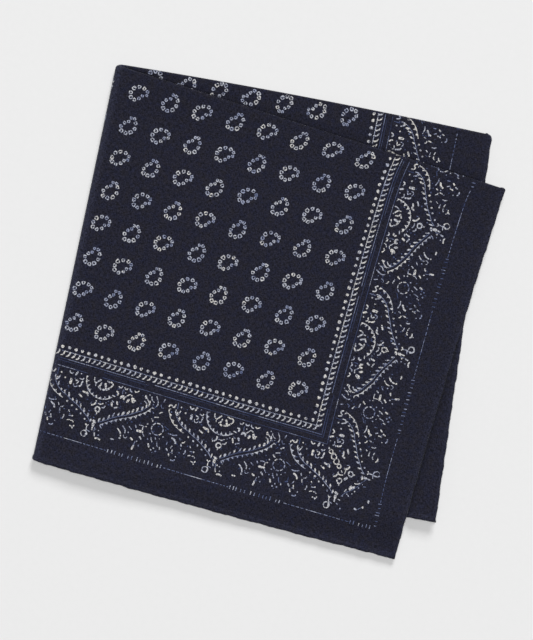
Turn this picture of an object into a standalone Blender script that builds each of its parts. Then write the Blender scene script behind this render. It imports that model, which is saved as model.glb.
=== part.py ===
"""A cotton pocket square, folded in four and lying flat.

The cloth is one square, 330 mm to a side, with a narrow rolled hem on each edge.
It is folded in half and in half again, so four leaves lie on each other.  From the
top down they are the upper leaf, the two hidden leaves between, and the base leaf.

The cloth's middle is the corner at -X +Y.  The left side is one outer fold, which
turns the upper leaf into the base leaf round an inner fold of the hidden leaves.
The far side is two folds, one for the upper pair of leaves and one for the lower
pair.  The right side and the near side are open, so their edges are the hems.  The
pairs are slightly askew, and the lower pair shows beyond the upper one.

Each leaf is worked out as a patch between four edges.  A place on it is named by two
distances: "across" from the left edge and "down" from the far edge.
"""

import math

import bmesh
import bpy
from mathutils import Vector

MM = 0.001

# The cloth
CLOTH_SIDE = 330.0 * MM
LEAF_SIDE = CLOTH_SIDE / 2
WALL = 1.0 * MM
GAP = 0.3 * MM
HEM_WIDTH = 2.4 * MM
HEM_PROUD = 0.2 * MM

# Middle heights of the four leaves
PITCH = WALL + GAP
BASE_Z = WALL / 2
THIRD_Z = BASE_Z + PITCH
SECOND_Z = THIRD_Z + PITCH
UPPER_Z = SECOND_Z + PITCH

# Folds: a lip is how far each leaf of a fold reaches in from its edge
FOLD_LIP = 3.6 * MM
LEFT_LIP = 4.6 * MM
FOLD_STEPS = 8
CORNER_ROUND = 1.3 * MM

# Rounded rims
WALL_ROUND = 0.3 * MM
HEM_ROUND = 0.45 * MM

# How finely a leaf follows its edges
EDGE_STEPS = 10

# Corners of the two pairs of leaves, as seen from above: X, Y
CORNERS = {
    "upper": {
        "far_left": (0.0, 0.0),
        "far_right": (170.6, -17.9),
        "near_right": (156.8, -178.6),
        "near_left": (0.0, -168.6),
    },
    "lower": {
        "far_left": (0.0, 0.0),
        "far_right": (160.6, 3.4),
        "near_right": (170.4, -159.9),
        "near_left": (0.0, -168.2),
    },
}

# How far the middle of each edge bows outwards from the line between its corners
BOWS = {
    "upper": {"far": 0.1, "right": -1.0, "near": 0.8, "left": -0.2},
    "lower": {"far": 1.3, "right": -0.2, "near": -0.3, "left": -0.2},
}

# The filling between the two hidden leaves: X, Y of its corners
CORE_CORNERS = {
    "far_left": (2.6, -5.5),
    "far_right": (154.0, -22.5),
    "near_right": (151.0, -155.0),
    "near_left": (2.6, -162.0),
}

# Colours, as linear values: red, green, blue
NAVY = (0.017, 0.019, 0.034)
NAVY_FOLD = (0.020, 0.023, 0.042)
NAVY_INSIDE = (0.013, 0.014, 0.026)
NAVY_HEM = (0.024, 0.027, 0.048)


def edge_point(pair, edge, start, end, part):
    """The point at a part (0 to 1) of the way along one edge, with its bow."""
    first = Vector(CORNERS[pair][start]) * MM
    last = Vector(CORNERS[pair][end]) * MM
    run = last - first
    outwards = Vector((run.y, -run.x)).normalized()
    if edge in ("far", "right"):
        outwards = -outwards
    bow = BOWS[pair][edge] * MM * 4 * part * (1 - part)
    return first + run * part + outwards * bow


def patch_point(pair, across, down):
    """The plan point of a leaf at two distances from its left and far edges."""
    s = across / LEAF_SIDE
    t = down / LEAF_SIDE
    far = edge_point(pair, "far", "far_left", "far_right", s)
    near = edge_point(pair, "near", "near_left", "near_right", s)
    left = edge_point(pair, "left", "far_left", "near_left", t)
    right = edge_point(pair, "right", "far_right", "near_right", t)
    corners = {name: Vector(place) * MM for name, place in CORNERS[pair].items()}
    far_mix = corners["far_left"] * (1 - s) + corners["far_right"] * s
    near_mix = corners["near_left"] * (1 - s) + corners["near_right"] * s
    edges = far * (1 - t) + near * t + left * (1 - s) + right * s
    return edges - (far_mix * (1 - t) + near_mix * t)


def plan_centre():
    """The middle of the folded cloth's outline, which becomes the origin."""
    parts = [step / 60 for step in range(61)]
    outline = []
    for pair in CORNERS:
        for part in parts:
            along = part * LEAF_SIDE
            outline.append(patch_point(pair, along, 0.0))
            outline.append(patch_point(pair, along, LEAF_SIDE))
            outline.append(patch_point(pair, 0.0, along))
            outline.append(patch_point(pair, LEAF_SIDE, along))
    xs = [point.x for point in outline]
    ys = [point.y for point in outline]
    return Vector(((min(xs) + max(xs)) / 2, (min(ys) + max(ys)) / 2))


CENTRE = plan_centre()


def place(weight, across, down, height):
    """A point in space; weight 1 follows the upper pair and 0 the lower pair."""
    upper = patch_point("upper", across, down)
    lower = patch_point("lower", across, down)
    plan = lower.lerp(upper, weight) - CENTRE
    return Vector((plan.x, plan.y, height))


def steps(start, end, count):
    """Evenly spaced distances from start to end."""
    return [start + (end - start) * step / count for step in range(count + 1)]


def fold_section(lip, upper_height, lower_height):
    """The half-round of a fold, from the upper lip round to the lower lip.

    Each point is a distance in from the folded edge and a height.
    """
    radius = (upper_height - lower_height) / 2
    middle = (upper_height + lower_height) / 2
    centre = radius + WALL / 2
    section = [(lip, upper_height)]
    for step in range(FOLD_STEPS + 1):
        angle = math.pi * step / FOLD_STEPS
        section.append((centre - radius * math.sin(angle), middle + radius * math.cos(angle)))
    section.append((lip, lower_height))
    return section


def cloth_material(name, colour):
    """Matt dyed cotton."""
    material = bpy.data.materials.new(name + "_cotton")
    material.use_nodes = True
    shader = material.node_tree.nodes["Principled BSDF"]
    shader.inputs["Base Color"].default_value = (*colour, 1.0)
    shader.inputs["Roughness"].default_value = 0.9
    shader.inputs["Metallic"].default_value = 0.0
    return material


def shaped_grid(name, columns, rows, point_at):
    """A grid whose vertex at column i and row j goes to point_at(columns[i], rows[j])."""
    bm = bmesh.new()
    bmesh.ops.create_grid(bm, x_segments=len(columns) - 1, y_segments=len(rows) - 1, size=1.0)
    for vert in bm.verts:
        i = round((vert.co.x + 1) / 2 * (len(columns) - 1))
        j = round((vert.co.y + 1) / 2 * (len(rows) - 1))
        vert.co = point_at(columns[i], rows[j])
    mesh = bpy.data.meshes.new(name)
    bm.to_mesh(mesh)
    bm.free()
    return bpy.data.objects.new(name, mesh)


def add_wall(obj, thickness, rounding, segments):
    """Thicken an open sheet to both sides and round its rim."""
    solidify = obj.modifiers.new("Wall", "SOLIDIFY")
    solidify.thickness = thickness
    solidify.offset = 0.0
    bevel = obj.modifiers.new("Rim", "BEVEL")
    bevel.limit_method = "ANGLE"
    bevel.angle_limit = math.radians(50)
    bevel.width = rounding
    bevel.segments = segments


def finish(obj, colour, collection):
    """Give a piece its cotton and its place in the collection."""
    obj.data.materials.append(cloth_material(obj.name, colour))
    collection.objects.link(obj)


def make_leaf(name, weight, height, collection):
    """The flat of one leaf, between its two folds and its two hems."""
    inner_edge = LEAF_SIDE - HEM_WIDTH - GAP
    columns = steps(LEFT_LIP + GAP, inner_edge, EDGE_STEPS)
    rows = steps(FOLD_LIP + GAP, inner_edge, EDGE_STEPS)
    leaf = shaped_grid(name, columns, rows,
                       lambda across, down: place(weight, across, down, height))
    add_wall(leaf, WALL, WALL_ROUND, 2)
    finish(leaf, NAVY, collection)


def make_far_fold(name, weight, upper_height, lower_height, collection):
    """The half-round that turns one leaf of a pair into the other at the far side."""
    columns = steps(LEFT_LIP + GAP, LEAF_SIDE, EDGE_STEPS)
    section = fold_section(FOLD_LIP, upper_height, lower_height)
    fold = shaped_grid(name, columns, section,
                       lambda across, point: place(weight, across, point[0], point[1]))
    add_wall(fold, WALL, WALL_ROUND, 2)
    finish(fold, NAVY_FOLD, collection)


def corner_inset(down):
    """How far the rounded far left corner draws the outer fold in."""
    if down >= CORNER_ROUND:
        return 0.0
    short = CORNER_ROUND - down
    return CORNER_ROUND - math.sqrt(CORNER_ROUND ** 2 - short ** 2)


def make_left_fold(collection):
    """The outer fold, which turns the upper leaf into the base leaf."""
    section = fold_section(LEFT_LIP, UPPER_Z, BASE_Z)
    downs = [0.0, 0.3 * CORNER_ROUND, CORNER_ROUND] + steps(6 * MM, LEAF_SIDE, EDGE_STEPS)

    def point_at(down, point):
        weight = (point[1] - BASE_Z) / (UPPER_Z - BASE_Z)
        inset = corner_inset(down) * (1 - point[0] / LEFT_LIP)
        return place(weight, point[0] + inset, down, point[1])

    fold = shaped_grid("left_fold", downs, section, point_at)
    add_wall(fold, WALL, WALL_ROUND, 2)
    finish(fold, NAVY_FOLD, collection)


def make_core(parent_collection):
    """A guide that fills the space between the hidden leaves, cut well inside them."""
    flat = [Vector(CORE_CORNERS[name]) * MM - CENTRE
            for name in ("far_left", "far_right", "near_right", "near_left")]

    def point_at(s, t):
        far = flat[0].lerp(flat[1], s)
        near = flat[3].lerp(flat[2], s)
        plan = far.lerp(near, t)
        return Vector((plan.x, plan.y, (SECOND_Z + THIRD_Z) / 2))

    core = shaped_grid("core_guide", [0.0, 1.0], [0.0, 1.0], point_at)
    solidify = core.modifiers.new("Filling", "SOLIDIFY")
    solidify.thickness = SECOND_Z - THIRD_Z
    solidify.offset = 0.0
    core.hide_render = True
    core.display_type = "WIRE"
    parent_collection.objects.link(core)
    return core


def make_inner_layers(collection, guides):
    """The two hidden leaves, joined by their own fold, as one rounded solid.

    A section runs from the second leaf's hem, round the inner fold at the left, and
    back to the third leaf's hem.  The core closes the space inside, so the layers
    show at the edges alone.
    """
    start = LEAF_SIDE - HEM_WIDTH - GAP
    fold_centre = (UPPER_Z - BASE_Z) / 2 + WALL / 2
    radius = (SECOND_Z - THIRD_Z) / 2
    middle = (SECOND_Z + THIRD_Z) / 2
    section = [(across, SECOND_Z) for across in steps(start, fold_centre + radius, EDGE_STEPS)]
    for step in range(FOLD_STEPS + 1):
        angle = math.pi * step / FOLD_STEPS
        section.append((fold_centre - radius * math.sin(angle), middle + radius * math.cos(angle)))
    section += [(across, THIRD_Z) for across in steps(fold_centre + radius, start, EDGE_STEPS)]
    downs = steps(FOLD_LIP + GAP, start, EDGE_STEPS)

    def point_at(down, point):
        weight = (point[1] - THIRD_Z) / (SECOND_Z - THIRD_Z)
        return place(weight, point[0], down, point[1])

    layers = shaped_grid("inner_layers", downs, section, point_at)
    add_wall(layers, WALL, WALL_ROUND, 2)
    join = layers.modifiers.new("Filled", "BOOLEAN")
    join.operation = "UNION"
    join.solver = "EXACT"
    join.object = make_core(guides)
    finish(layers, NAVY_INSIDE, collection)


def make_hem(name, weight, height, side, collection, proud=0.0):
    """A rolled hem along the right or the near side of one leaf."""
    outer = [LEAF_SIDE - HEM_WIDTH, LEAF_SIDE]
    thickness = WALL + proud
    level = height + proud / 2
    if side == "right":
        run = steps(FOLD_LIP + GAP, LEAF_SIDE, EDGE_STEPS)
        hem = shaped_grid(name, outer, run,
                          lambda across, down: place(weight, across, down, level))
    else:
        run = steps(LEFT_LIP + GAP, LEAF_SIDE - HEM_WIDTH - GAP, EDGE_STEPS)
        hem = shaped_grid(name, run, outer,
                          lambda across, down: place(weight, across, down, level))
    add_wall(hem, thickness, HEM_ROUND, 3)
    finish(hem, NAVY_HEM, collection)


def build():
    """Clear the scene and make the folded pocket square."""
    for obj in list(bpy.data.objects):
        bpy.data.objects.remove(obj, do_unlink=True)
    scene_collection = bpy.context.scene.collection
    cloth = bpy.data.collections.new("pocket_square")
    guides = bpy.data.collections.new("guides")
    scene_collection.children.link(cloth)
    scene_collection.children.link(guides)

    make_leaf("upper_leaf", 1.0, UPPER_Z, cloth)
    make_leaf("base_leaf", 0.0, BASE_Z, cloth)
    make_inner_layers(cloth, guides)
    make_left_fold(cloth)
    make_far_fold("upper_far_fold", 1.0, UPPER_Z, SECOND_Z, cloth)
    make_far_fold("lower_far_fold", 0.0, THIRD_Z, BASE_Z, cloth)

    leaves = [
        # leaf, weight, height, proud
        ("upper", 1.0, UPPER_Z, HEM_PROUD),
        ("second", 1.0, SECOND_Z, 0.0),
        ("third", 0.0, THIRD_Z, 0.0),
        ("base", 0.0, BASE_Z, 0.0),
    ]
    for leaf, weight, height, proud in leaves:
        for side in ("right", "near"):
            make_hem(f"hem_{leaf}_{side}", weight, height, side, cloth, proud)


build()
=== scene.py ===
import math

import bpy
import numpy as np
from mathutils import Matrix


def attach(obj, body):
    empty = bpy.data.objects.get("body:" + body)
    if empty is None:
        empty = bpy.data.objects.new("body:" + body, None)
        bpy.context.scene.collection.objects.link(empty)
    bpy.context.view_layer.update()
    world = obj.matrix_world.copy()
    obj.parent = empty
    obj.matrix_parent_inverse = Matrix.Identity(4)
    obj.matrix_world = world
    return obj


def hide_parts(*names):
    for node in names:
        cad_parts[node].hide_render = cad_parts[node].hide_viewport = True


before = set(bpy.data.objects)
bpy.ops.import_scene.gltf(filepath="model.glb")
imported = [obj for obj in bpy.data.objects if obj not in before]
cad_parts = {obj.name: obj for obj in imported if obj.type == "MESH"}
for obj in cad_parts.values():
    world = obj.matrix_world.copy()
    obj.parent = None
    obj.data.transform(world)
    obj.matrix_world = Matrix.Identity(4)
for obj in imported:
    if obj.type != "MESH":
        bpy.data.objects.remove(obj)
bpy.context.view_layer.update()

# %% [markdown]
# # A printed cotton pocket square, folded in four
#
# The real thing is one square of cotton, dyed dark indigo, with a pale pattern printed on
# one side and a narrow hem rolled by hand along every edge.  It is folded in half, then
# in half again, and laid on a table.
#
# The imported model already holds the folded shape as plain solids.  This lesson dresses
# it: one continuous cloth, its rolled hem and stitches, the print, the look of the cotton,
# and a light that shows them.  Everything follows from one idea.  A flat square is easy
# to draw on, so the cloth, the hem, the stitches and the print are all worked out flat,
# in millimetres on the open cloth, and one function folds whatever it is given.

MM = 0.001
NODES = sorted(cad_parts)
print("CAD nodes:", len(NODES))

# %% [markdown]
# ## The cloth's measures
#
# The square is 330 mm to a side, so a folded leaf is 165 mm.  Nobody folds cloth quite
# square.  Here the upper pair of leaves has swung a little clockwise over the lower pair,
# so each pair has its own four corners, and each edge bows slightly.  The solids have
# nearly the same measures: five of the corners here are fitted a little closer, by 0.8 mm
# at most.  X runs to the right along the far folds, Y away from the viewer, and the
# cloth's own middle is the far left corner.

# %% Corners and bows
CLOTH = 330.0
LEAF = CLOTH / 2
THICK = 0.38            # the cotton, with its nap
PITCH = 1.3             # from leaf to leaf where hems or folds hold them apart

CORNERS = {
    "upper": {"far_left": (0.5, 0.0), "far_right": (170.6, -17.7),
              "near_right": (156.8, -178.6), "near_left": (0.0, -169.0)},
    "lower": {"far_left": (0.5, 0.6), "far_right": (160.6, 3.4),
              "near_right": (170.4, -159.9), "near_left": (0.0, -168.6)},
}
BOWS = {
    # how far the middle of each edge stands out from the line between its corners
    "upper": {"far": 0.1, "right": -1.0, "near": 0.8, "left": -0.2},
    "lower": {"far": 1.15, "right": -0.2, "near": -0.3, "left": -0.2},
}
EDGES = {
    # edge: its start, its end, and which side of it is outwards
    "far": ("far_left", "far_right", -1),
    "right": ("far_right", "near_right", -1),
    "near": ("near_left", "near_right", 1),
    "left": ("far_left", "near_left", 1),
}
print("a folded leaf:", LEAF, "mm each way")

# %% The plan of a leaf
def edge_line(pair, edge, part):
    """Places along one bowed edge of a leaf; part runs from 0 to 1."""
    start, end, outwards = EDGES[edge]
    first = np.array(CORNERS[pair][start])
    run = np.array(CORNERS[pair][end]) - first
    normal = np.array((run[1], -run[0])) / np.hypot(*run) * outwards
    bow = BOWS[pair][edge] * 4 * part * (1 - part)
    return first + run * part[..., None] + normal * bow[..., None]


def leaf_plan(pair, across, down):
    """Where a place on a leaf lies, seen from above: a patch stretched between its edges."""
    s, t = np.asarray(across, float) / LEAF, np.asarray(down, float) / LEAF
    corner = {name: np.array(place) for name, place in CORNERS[pair].items()}
    s1, t1 = s[..., None], t[..., None]
    sides = (edge_line(pair, "far", s) * (1 - t1) + edge_line(pair, "near", s) * t1
             + edge_line(pair, "left", t) * (1 - s1) + edge_line(pair, "right", t) * s1)
    far = corner["far_left"] * (1 - s1) + corner["far_right"] * s1
    near = corner["near_left"] * (1 - s1) + corner["near_right"] * s1
    return sides - (far * (1 - t1) + near * t1)


INVERSE_ROUNDS = 12


def leaf_place(pair, plan):
    """The inverse: which place on a leaf lies at these plan points, closing in on it."""
    across, down = plan[..., 0].copy(), -plan[..., 1]
    for _ in range(INVERSE_ROUNDS):
        miss = plan - leaf_plan(pair, across, down)
        across += miss[..., 0]
        down -= miss[..., 1]
    return across, down


outline = np.concatenate([edge_line(pair, edge, np.linspace(0, 1, 61))
                          for pair in CORNERS for edge in EDGES])
CENTRE = (outline.min(0) + outline.max(0)) / 2
print("plan centre, from the cloth's middle:", CENTRE.round(2), "mm")

# %% [markdown]
# ## How high the leaves lie
#
# Cloth isn't stiff.  Along a fold the leaves spring apart, and along a hem the rolled
# edge is thicker than the cloth, so there each leaf takes its full pitch.  Further in
# they sink until they lie on each other.  Where the upper pair reaches past the lower
# pair it sinks to the table.  Every leaf's height is the sum of the half pitches below
# it, so no leaf can pass through the next, however they are turned.  The upper pair
# presses the lower one flat, and past the upper pair's edges the lower pair springs up
# again, most along its right hem, which leaves a narrow dark crevice along them.

# %% Pitches and reaches
NAP = 0.14                       # half the air that the nap keeps between two leaves
REST = THICK / 2 + NAP           # half the pitch between leaves that lie on each other
HEM_LIFT = 0.10                  # room under a hem for its lumps
STAND = PITCH / 2 - REST         # what a fold or a hem adds to it
STAND_REACH = 13.0               # how far in from an edge that fades
HEM_REACH = 6.0                  # how far in the lowest leaf's lift fades
DROP_REACH = 9.0                 # how far past the lower pair the upper pair takes to sink
SPRINGS = {
    # the upper pair's edge: height, and how far past the edge it takes, from where
    "far fold": [(0.50, 0.5, 0.1), (0.50, 3.5, 0.3)],
    "right hem": [(1.15, 0.9, 0.0), (0.90, 2.8, 0.2)],
}
print("pitch where leaves rest:", round(2 * REST, 2), "mm; at folds and hems:", PITCH, "mm")

# %% How the leaves stand
def fade(distance, reach):
    """1 at and beyond an edge, falling softly to 0 further in."""
    return np.exp(-(np.maximum(distance, 0) / reach) ** 2)


def stand(across, down):
    """How fully a leaf stands at its full pitch: near any of its folds and hems."""
    lie = 1.0
    for inside in (across, down, LEAF - across, LEAF - down):
        lie = lie * (1 - fade(inside, STAND_REACH))
    return 1 - lie


def hem_stand(across, down):
    """The same for the two hems alone, which also lift the lowest leaf."""
    return 1 - (1 - fade(LEAF - across, HEM_REACH)) * (1 - fade(LEAF - down, HEM_REACH))


def overhang(across, down):
    """0 over the lower pair, rising to 1 past its edges."""
    over = 1.0
    for inside in (across, down, LEAF - across, LEAF - down):
        over = over * fade(-inside, DROP_REACH)
    return 1 - over


def soft_step(value):
    """From 0 to 1 as the value does, starting and ending softly."""
    value = np.clip(value, 0, 1)
    return value * value * (3 - 2 * value)


def spring(across, down):
    """How much the lower pair rises past the upper pair's far fold or right hem."""
    height = 0.0
    for edge, past in (("far fold", -down), ("right hem", across - LEAF)):
        rise = 0.0
        for size, reach, start in SPRINGS[edge]:
            rise = rise + size * soft_step((past - start) / reach)
        height = np.maximum(height, rise)
    return height


def stack(upper, lower):
    """Mid heights of the four leaves, from the table up, at places on both pairs."""
    half_low = REST + STAND * stand(*lower)
    half_up = REST + STAND * stand(*upper)
    base = REST + (STAND + HEM_LIFT) * hem_stand(*lower)
    third = base + 2 * half_low + spring(*upper)
    hung = overhang(*lower)
    table = REST + (STAND + HEM_LIFT) * hem_stand(*upper)
    second = (third + half_low + half_up) * (1 - hung) + table * hung
    return base, third, second, second + 2 * half_up


for where, across in (("in the middle", LEAF / 2), ("at a hem", LEAF)):
    place = (np.array([across]), np.array([LEAF / 2]))
    heights = [round(float(height[0]), 2) for height in stack(place, place)]
    print("leaf heights", where, "in mm:", heights)

# %% [markdown]
# ## Folding a flat square
#
# A fold is a half circle that joins two flats.  The first fold, along v = 0, lays the far
# half under the near half.  The second, along u = 0, swings the left half of both under
# the right half.  So a point is bent twice, and each bend only needs to know how far the
# point is from the fold line, and on which side.  The printed side stays outermost, and
# the outer cloth turns round the inner one, on a larger radius.

# %% Radii, swells and creases
FOLD_RADIUS = PITCH / 2          # between the two leaves of a pair
TURN_RADIUS = PITCH              # between the middles of the two pairs
FIRST_CENTRE = FOLD_RADIUS + THICK / 2
TURN_CENTRE = TURN_RADIUS + FOLD_RADIUS + THICK / 2
MIDDLE = REST + 1.5 * PITCH      # the height that the second fold turns about
TOP = MIDDLE + 1.5 * PITCH       # the top leaf's height before the leaves settle
CORNER_ROUND = 1.6               # how round the far ends of the side folds are

SWELLS = [
    # height, then how many millimetres across and down to one radian, and the start
    (0.30, 19.0, 31.0, 0.6),
    (0.24, 34.0, -17.0, 2.1),
    (0.10, 9.0, 13.0, 4.0),
    (0.08, 8.0, -11.0, 1.0),
]
CREASES = [
    # across, down, turn, length, width, height
    (60.0, 24.0, 0.10, 34.0, 4.0, -0.20),
    (128.0, 62.0, 1.35, 30.0, 4.5, 0.22),
    (36.0, 128.0, 0.25, 28.0, 5.0, 0.20),
    (104.0, 158.0, 0.02, 36.0, 4.0, -0.18),
    (16.0, 76.0, 1.50, 40.0, 4.5, 0.20),
    (146.0, 120.0, 1.62, 26.0, 4.0, -0.20),
]
print("fold radii:", FOLD_RADIUS, "and", TURN_RADIUS, "mm;", len(CREASES), "creases")

# %% The fold
def bend(distance, radius, centre):
    """Round a half circle: the angle from its tip, and the flat run past it."""
    arc = radius * math.pi / 2
    angle = np.minimum(distance / radius, math.pi / 2)
    run = np.maximum(distance - arc, 0) * (LEAF - centre) / (LEAF - arc)
    return angle, run


def unevenness(plan):
    """Soft swells and a few creases that the stacked leaves share."""
    x, y = plan[..., 0], -plan[..., 1]
    height = 0.0
    for size, across, down, start in SWELLS:
        height = height + size * np.sin(x / across + y / down + start)
    for across, down, turn, length, width, size in CREASES:
        along = (x - across) * math.cos(turn) + (y - down) * math.sin(turn)
        aside = (y - down) * math.cos(turn) - (x - across) * math.sin(turn)
        height = height + size * np.exp(-(along / length) ** 2 - (aside / width) ** 2)
    return height


def fold(u, v, lift):
    """Folds places of the open cloth: u and v in mm from its middle, lift above mid-cloth."""
    u, v, lift = np.broadcast_arrays(np.asarray(u, float), v, lift)
    angle, run = bend(np.abs(v), FOLD_RADIUS, FIRST_CENTRE)
    down = FIRST_CENTRE - (FOLD_RADIUS + lift) * np.cos(angle) + run
    outer = np.where(v < 0, -1.0, 1.0) * np.sin(angle)

    angle, run = bend(np.abs(u), TURN_RADIUS + outer * FOLD_RADIUS, TURN_CENTRE)
    radius = TURN_RADIUS + outer * (FOLD_RADIUS + lift)
    across = TURN_CENTRE - radius * np.cos(angle) + run
    upper = np.where(u < 0, -1.0, 1.0) * np.sin(angle)

    up, out = (1 + upper) / 2, (1 + outer) / 2
    plan = (leaf_plan("upper", across, down) * up[..., None]
            + leaf_plan("lower", across, down) * (1 - up[..., None]))
    base, third, _, _ = stack(leaf_place("upper", plan), (across, down))
    _, _, second, first = stack((across, down), leaf_place("lower", plan))
    settle = (up * (out * (first - TOP) + (1 - out) * (second - TOP + PITCH))
              + (1 - up) * ((1 - out) * (third - TOP + 2 * PITCH)
                            + out * (base - TOP + 3 * PITCH)))
    height = MIDDLE + upper * radius + settle
    height = height + unevenness(plan) * (height / TOP) ** 2

    short = np.clip(CORNER_ROUND - down, 0, CORNER_ROUND)
    rounded = CORNER_ROUND - np.sqrt(CORNER_ROUND ** 2 - short ** 2)
    left = np.clip(1 - across / (2 * TURN_CENTRE), 0, 1)
    right = np.clip(1 - (LEAF - across) / (2 * TURN_CENTRE), 0, 1) * (1 - up)
    plan_x = plan[..., 0] + rounded * (left - right)
    return np.stack([plan_x - CENTRE[0], plan[..., 1] - CENTRE[1], height], -1) * MM


corner = fold(np.array([LEAF, -LEAF]), np.array([LEAF, LEAF]), 0.0) / MM
print("near right corner of the top and bottom leaf, mm:", corner.round(1).tolist())

# %% [markdown]
# ## The cloth
#
# A pocket square has one piece of cloth, so one mesh makes it.  A cloth simulation could
# fold it, but this one lies pressed flat, and a fold that is worked out keeps every leaf
# and every printed mark in its place.  The mesh starts as a flat grid primitive.  Its rows
# and columns are then drawn together along the two fold lines and under the crevices,
# where it has to turn sharply, and spaced out over the flats.  Every vertex goes through
# the fold, and a Solidify modifier gives the sheet the thickness of the cotton.  The
# places on the open cloth are kept as UV, so the weave runs unbroken round the folds.

# %% Mesh helpers
def only(piece):
    """Selects one object and makes it the active one."""
    bpy.ops.object.select_all(action="DESELECT")
    piece.select_set(True)
    bpy.context.view_layer.objects.active = piece


def finish_with(piece, kind, **settings):
    """Adds a modifier with its settings and applies it."""
    only(piece)
    modifier = piece.modifiers.new(kind.title(), kind)
    for setting, value in settings.items():
        setattr(modifier, setting, value)
    bpy.ops.object.modifier_apply(modifier=modifier.name)


def lay_uv(piece, flat):
    """Gives every corner its place on the open cloth as UV, from 0 to 1 over its width."""
    layer = piece.data.uv_layers.active or piece.data.uv_layers.new(name="cloth")
    layer.name = "cloth"
    index = np.zeros(len(piece.data.loops), np.int64)
    piece.data.loops.foreach_get("vertex_index", index)
    layer.data.foreach_set("uv", (flat[index] / CLOTH + 0.5).ravel())


def triangles(piece):
    """How many triangles a mesh comes to."""
    return sum(len(face.vertices) - 2 for face in piece.data.polygons)


print("tools for meshes: select, apply a modifier, lay UV, count triangles")

# %% The folded cloth
HEM = 2.4                        # the rolled hem's width
CLOTH_EDGE = LEAF - HEM / 2      # the raw edge is hidden in the middle of the roll
FOLD_STEP = 0.26                 # from row to row in a fold
CREVICE_STEP = 0.45              # the same under a crevice
EDGE_STEP = 0.8                  # and along the cloth's edges
FOLD_REACH, EDGE_REACH = 3.2, 3.0    # how far from a fold and an edge these last
STEP_GROWS = 0.16                # what a step gains with each millimetre past them


def stations(limit, wide=2.6, crevice=(0.0, 0.0)):
    """Places from -limit to limit, close together at the middle, ends and a crevice."""
    places = [0.0]
    while places[-1] < limit:
        at = places[-1]
        middle_step = FOLD_STEP + STEP_GROWS * max(at - FOLD_REACH, 0)
        if crevice[0] < at < crevice[1]:
            middle_step = min(middle_step, CREVICE_STEP)
        edge_step = EDGE_STEP + STEP_GROWS * max(limit - at - EDGE_REACH, 0)
        places.append(at + min(wide, middle_step, edge_step))
    half = np.array(places) * limit / places[-1]
    return np.concatenate([-half[:0:-1], half])


rows = stations(CLOTH_EDGE, crevice=(3.0, 20.0))
columns = stations(CLOTH_EDGE, crevice=(150.5, 164.0))
bpy.ops.object.select_all(action="DESELECT")
bpy.ops.mesh.primitive_grid_add(x_subdivisions=len(columns) - 1,
                                y_subdivisions=len(rows) - 1, size=1.0)
cloth = bpy.context.object
cloth.name = cloth.data.name = "cloth"
spread = np.array([vertex.co[:2] for vertex in cloth.data.vertices]) + 0.5
index = np.rint(spread * (len(columns) - 1, len(rows) - 1)).astype(int)
flat = np.stack([columns[index[:, 0]], -rows[index[:, 1]]], -1)
cloth.data.vertices.foreach_set("co", fold(flat[:, 0], flat[:, 1], 0.0).ravel())
lay_uv(cloth, flat)
finish_with(cloth, "SOLIDIFY", thickness=THICK * MM, offset=0.0, use_even_offset=False)
only(cloth)
bpy.ops.object.shade_smooth()
print("cloth:", triangles(cloth), "triangles,", len(rows), "rows,", len(columns), "columns")

# %% [markdown]
# ## The rolled hem
#
# The raw edge is rolled between finger and thumb into a cord about 2.4 mm wide and sewn
# down by hand with tiny stitches, some 8 mm apart.  So it is a soft, lumpy tube, drawn in
# a little at each stitch.  One ring of points is swept round the open square, with each
# ring a little shorter the further in it lies, which mitres the corners, and the fold
# then carries it round with the cloth.

# %% A ring round the square
HEM_HIGH = 0.57          # half of the roll's height
STITCH = 8.1             # from stitch to stitch
RING = 14                # points round the roll
PERIMETER = 8 * LEAF
LUMPS = ((37.0, 0.05), (13.0, 0.07), (6.3, 0.06), (2.9, 0.04))     # length, size
WANDER = ((0.10, 21.0, 1.0), (0.06, 7.3, 0.0))       # size, millimetres to a radian, start
PINCH_DEEP, PINCH_LONG = 0.14, 0.9       # how a stitch draws the roll in
rng = np.random.default_rng(11)


def object_from(name, points, faces):
    """A new mesh object in the scene, at the origin, from points in metres and faces."""
    mesh = bpy.data.meshes.new(name)
    mesh.from_pydata(np.asarray(points).tolist(), [], faces)
    made = bpy.data.objects.new(name, mesh)
    bpy.context.scene.collection.objects.link(made)
    return made


def round_the_square(inset, along):
    """Places on the four sides in turn; along runs from -1 to 1 on each of them."""
    side = LEAF - inset
    return [np.stack(np.broadcast_arrays(u, v), -1)
            for u, v in ((side, along * side), (-along * side, side),
                         (-side, -along * side), (along * side, -side))]


print("the way round the square:", PERIMETER, "mm")

# %% Hem
along = (stations(LEAF, wide=1.1) / LEAF)[:-1]
count = 4 * len(along)
turn = np.arange(RING) * 2 * math.pi / RING
run = np.concatenate([along * LEAF + LEAF + 2 * LEAF * side for side in range(4)])
lumps = np.zeros(count)
for length, size in LUMPS:
    waves = round(PERIMETER / length)
    lumps += size * np.sin(run / PERIMETER * waves * 2 * math.pi + rng.uniform(0, 6.3))
to_stitch = (run / STITCH + 0.5) % 1 - 0.5
pinch = np.exp(-(to_stitch * STITCH / PINCH_LONG) ** 2)
swell = 1 + lumps - PINCH_DEEP * pinch
wander = sum(size * np.sin(run / length + start) for size, length, start in WANDER)

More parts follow.
